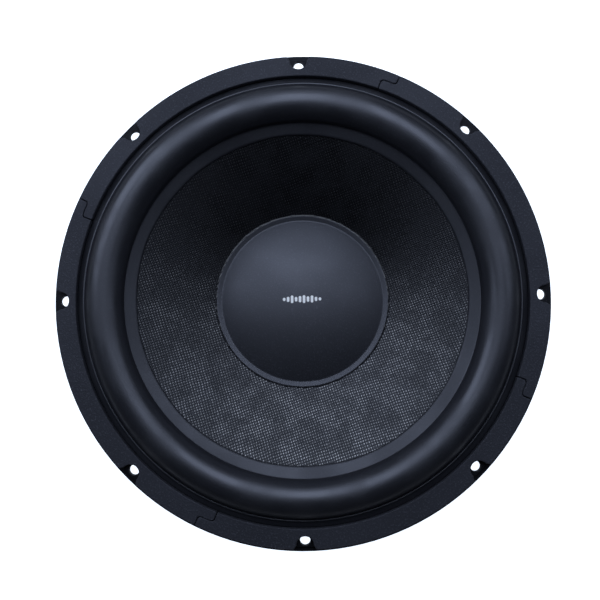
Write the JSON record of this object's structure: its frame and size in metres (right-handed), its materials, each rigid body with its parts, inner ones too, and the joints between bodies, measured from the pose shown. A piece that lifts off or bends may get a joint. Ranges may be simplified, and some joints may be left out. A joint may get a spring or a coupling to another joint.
{
  "type": "car subwoofer speaker",
  "caption": "Round car subwoofer driver: woven cone with a domed cap, wide rubber half roll, stepped front gasket, open frame, double magnet and sprung terminals.",
  "frame": {"origin": "centre of the magnet's back face, where the speaker stands", "axes": "+Z along the axis, out of the cone; +X towards the right terminal and the first bolt hole; +Y towards the third bolt hole"},
  "size_m": [0.312, 0.312, 0.1472],
  "materials": {
    "frame_paint": "black powder coat, satin",
    "gasket_rubber": "fine-grained matte",
    "surround_rubber": "smooth, soft sheen",
    "cone_weave": "coated glass cloth, dark, glinting threads",
    "cap_skin": "fine-grained matte",
    "clear_glue": "glossy bead",
    "former_foil": "amber film on foil",
    "winding_wire": "enamelled copper wire",
    "spider_cloth": "resin-stiffened cloth",
    "plate_steel": "black zinc plate",
    "magnet_ferrite": "ground ferrite",
    "ring_aluminium": "turned",
    "boot_rubber": "matte",
    "screen_steel": "black",
    "screw_zinc": "zinc plated",
    "solder_pad": "solder under lacquer",
    "terminal_plastic": "moulded black",
    "contact_plating": "plated",
    "rivet_metal": "set rivets",
    "post_red": "moulded",
    "post_black": "moulded",
    "spring_steel": "bright wire",
    "lead_braid": "tinned copper braid"
  },
  "bodies": {
    "frame": {"basket": "frame_paint", "gasket_1": "gasket_rubber", "gasket_2": "gasket_rubber", "gasket_3": "gasket_rubber", "gasket_4": "gasket_rubber", "top_plate": "plate_steel", "back_plate": "plate_steel", "magnet_upper": "magnet_ferrite", "magnet_lower": "magnet_ferrite", "shorting_ring": "ring_aluminium", "magnet_boot": "boot_rubber", "vent_screen": "screen_steel", "frame_screws": "screw_zinc", "terminal_body_right": "terminal_plastic", "terminal_body_left": "terminal_plastic", "terminal_contacts_right": "contact_plating", "terminal_contacts_left": "contact_plating", "terminal_rivets_right": "rivet_metal", "terminal_rivets_left": "rivet_metal", "post_spring_right_plus": "spring_steel", "post_spring_right_minus": "spring_steel", "post_spring_left_plus": "spring_steel", "post_spring_left_minus": "spring_steel", "tinsel_lead_right_plus": "lead_braid", "tinsel_lead_right_minus": "lead_braid", "tinsel_lead_left_plus": "lead_braid", "tinsel_lead_left_minus": "lead_braid"},
    "cone_assembly": {"cone": "cone_weave", "surround": "surround_rubber", "dust_cap": "cap_skin", "cap_glue": "clear_glue", "coil_former": "former_foil", "coil_winding_inner": "winding_wire", "coil_winding_outer": "winding_wire", "spider": "spider_cloth", "lead_pads": "solder_pad"},
    "post_right_plus": {"push_post_right_plus": "post_red"},
    "post_right_minus": {"push_post_right_minus": "post_black"},
    "post_left_plus": {"push_post_left_plus": "post_red"},
    "post_left_minus": {"push_post_left_minus": "post_black"}
  },
  "joints": [
    {"name": "cone_travel", "type": "slide", "parent": "frame", "child": "cone_assembly", "axis": [0, 0, 1], "range_m": [-0.012, 0.012], "stiffness_N_per_m": 4000, "deforming": ["surround", "spider", "tinsel_lead_right_plus", "tinsel_lead_right_minus", "tinsel_lead_left_plus", "tinsel_lead_left_minus"]},
    {"name": "press_right_plus", "type": "slide", "parent": "frame", "child": "post_right_plus", "axis": [-1, 0, 0], "range_m": [0, 0.0032], "stiffness_N_per_m": 700, "springref_m": -0.0025, "deforming": ["post_spring_right_plus"]},
    {"name": "press_right_minus", "type": "slide", "parent": "frame", "child": "post_right_minus", "axis": [-1, 0, 0], "range_m": [0, 0.0032], "stiffness_N_per_m": 700, "springref_m": -0.0025, "deforming": ["post_spring_right_minus"]},
    {"name": "press_left_plus", "type": "slide", "parent": "frame", "child": "post_left_plus", "axis": [1, 0, 0], "range_m": [0, 0.0032], "stiffness_N_per_m": 700, "springref_m": -0.0025, "deforming": ["post_spring_left_plus"]},
    {"name": "press_left_minus", "type": "slide", "parent": "frame", "child": "post_left_minus", "axis": [1, 0, 0], "range_m": [0, 0.0032], "stiffness_N_per_m": 700, "springref_m": -0.0025, "deforming": ["post_spring_left_minus"]}
  ]
}
